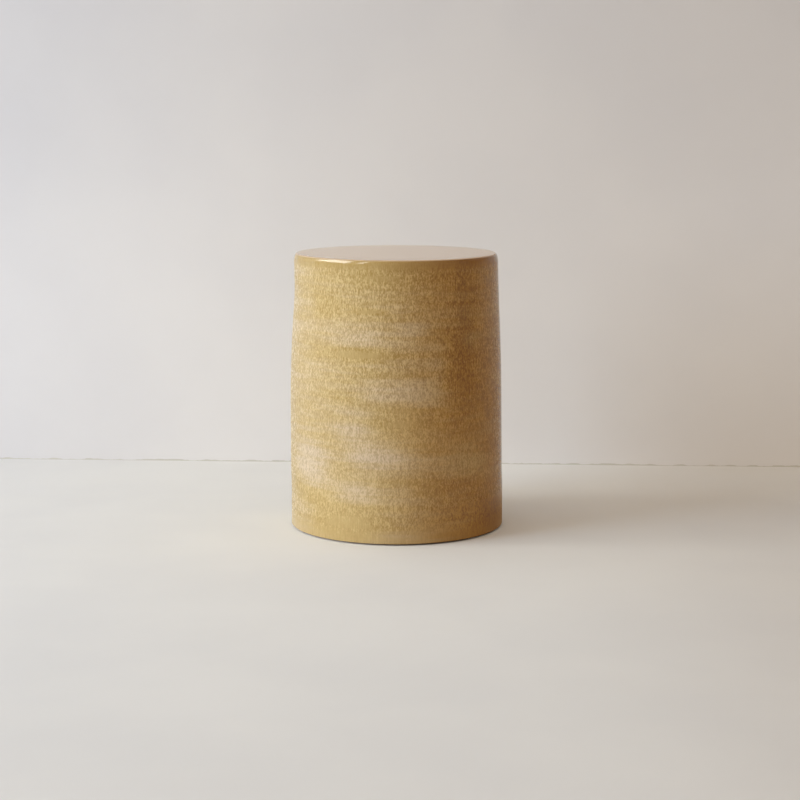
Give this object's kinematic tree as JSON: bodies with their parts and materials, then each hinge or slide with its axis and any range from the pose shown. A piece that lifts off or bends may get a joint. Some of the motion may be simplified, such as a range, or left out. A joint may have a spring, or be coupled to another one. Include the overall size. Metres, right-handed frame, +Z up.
{
  "type": "ceramic garden stool",
  "caption": "Hollow glazed stoneware drum with a flat seat and a slightly drawn-in top, open at the foot and standing on thin rubber pads.",
  "frame": {"origin": "on the floor, under the middle of the drum", "axes": "+Z up along the drum's axis; +X and +Y level, with a foot pad on +X"},
  "size_m": [0.351, 0.3508, 0.45],
  "materials": {
    "glaze": "satin ochre glaze, mottled with cream",
    "stoneware": "bare fired buff stoneware, matt",
    "pad": "matt black"
  },
  "bodies": {
    "root": {"drum_wall": "stoneware", "seat_slab": "stoneware", "seat_coil": "stoneware", "foot_flange": "stoneware", "foot_coil": "stoneware", "glaze_coat": "glaze", "foot_pad_1": "pad", "foot_pad_2": "pad", "foot_pad_3": "pad", "foot_pad_4": "pad", "foot_pad_5": "pad", "foot_pad_6": "pad"}
  },
  "joints": []
}
